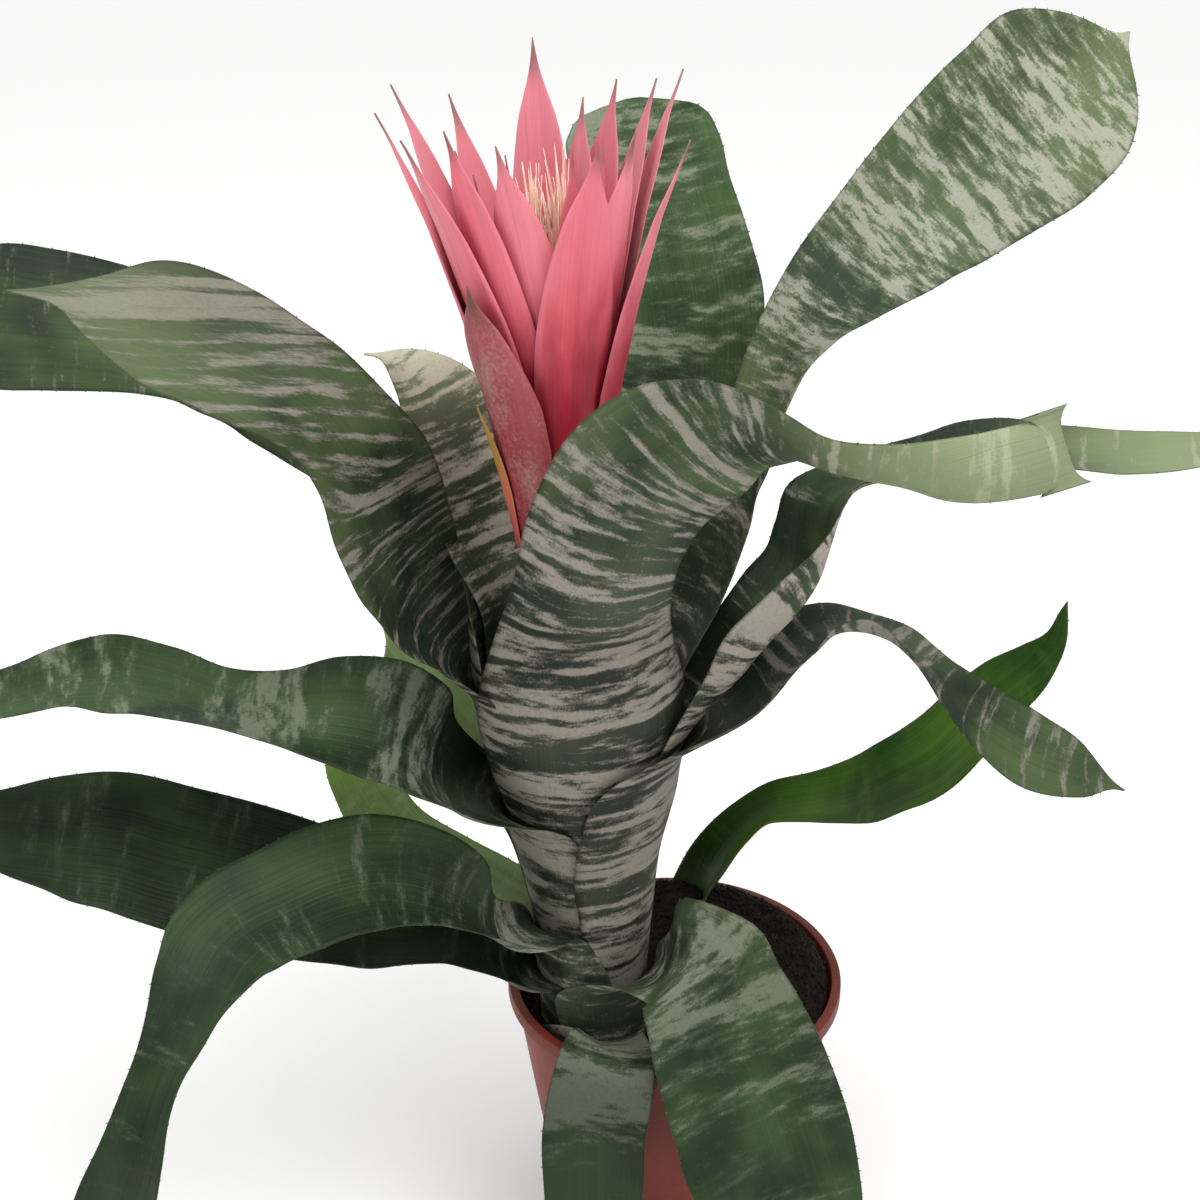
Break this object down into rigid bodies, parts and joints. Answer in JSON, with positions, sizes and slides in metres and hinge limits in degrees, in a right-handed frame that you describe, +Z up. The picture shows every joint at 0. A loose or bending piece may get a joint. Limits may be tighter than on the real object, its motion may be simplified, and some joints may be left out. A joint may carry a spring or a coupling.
{
  "type": "potted bromeliad",
  "caption": "Silver-banded vase bromeliad in bloom in a plain round nursery pot: broad arching leaves in a rosette around a pink star-shaped flower head.",
  "frame": {"origin": "centre of the pot's flat underside", "axes": "+Z up along the pot's axis; -Y is the side shown to the viewer, where the broad front leaf hangs over the rim; +X is the side of the broad paddle leaf"},
  "size_m": [0.4618, 0.2985, 0.4666],
  "materials": {
    "pot": "matte terracotta-red plastic",
    "soil": "damp crumbly potting soil",
    "stem": "matt green plant stem",
    "leaf": "satin green leaf with silver scurf cross-bands",
    "leaf_pale": "satin pale green leaf",
    "leaf_young": "satin bright green leaf",
    "bract": "satin pink bract with thin darker tip",
    "scape_bract": "satin deep pink bract with a scurfy olive tip",
    "scape_bract_thin": "satin orange bract",
    "floret": "satin peach floret"
  },
  "bodies": {
    "root": {"pot": "pot", "soil": "soil", "stem": "stem", "leaf_front_tall": "leaf", "leaf_left_tall": "leaf", "leaf_left_back": "leaf", "leaf_right_paddle": "leaf", "leaf_behind_flower": "leaf", "leaf_back_left": "leaf", "leaf_left_middle": "leaf", "leaf_right_twisted": "leaf", "leaf_right_drooping": "leaf", "leaf_left_drooping": "leaf", "leaf_left_broad": "leaf", "leaf_front_right": "leaf", "leaf_front_low": "leaf", "leaf_low_light": "leaf_pale", "leaf_mid_pale": "leaf_pale", "leaf_back_low": "leaf", "leaf_back_middle": "leaf", "leaf_offset": "leaf_young", "bract_01": "bract", "bract_02": "bract", "bract_03": "bract", "bract_04": "bract", "bract_05": "bract", "bract_06": "bract", "bract_07": "bract", "bract_08": "bract", "bract_09": "bract", "bract_10": "bract", "bract_11": "bract", "bract_12": "bract", "bract_13": "bract", "bract_14": "bract", "bract_15": "bract", "bract_16": "bract", "bract_17": "bract", "bract_18": "bract", "bract_19": "bract", "bract_20": "bract", "bract_21": "bract", "bract_22": "bract", "bract_23": "bract", "bract_24": "bract", "bract_25": "bract", "bract_26": "bract", "scape_bract_large": "scape_bract", "scape_bract_small": "scape_bract_thin", "floret_1": "floret", "floret_2": "floret", "floret_3": "floret", "floret_4": "floret", "floret_5": "floret", "floret_6": "floret"}
  },
  "joints": []
}
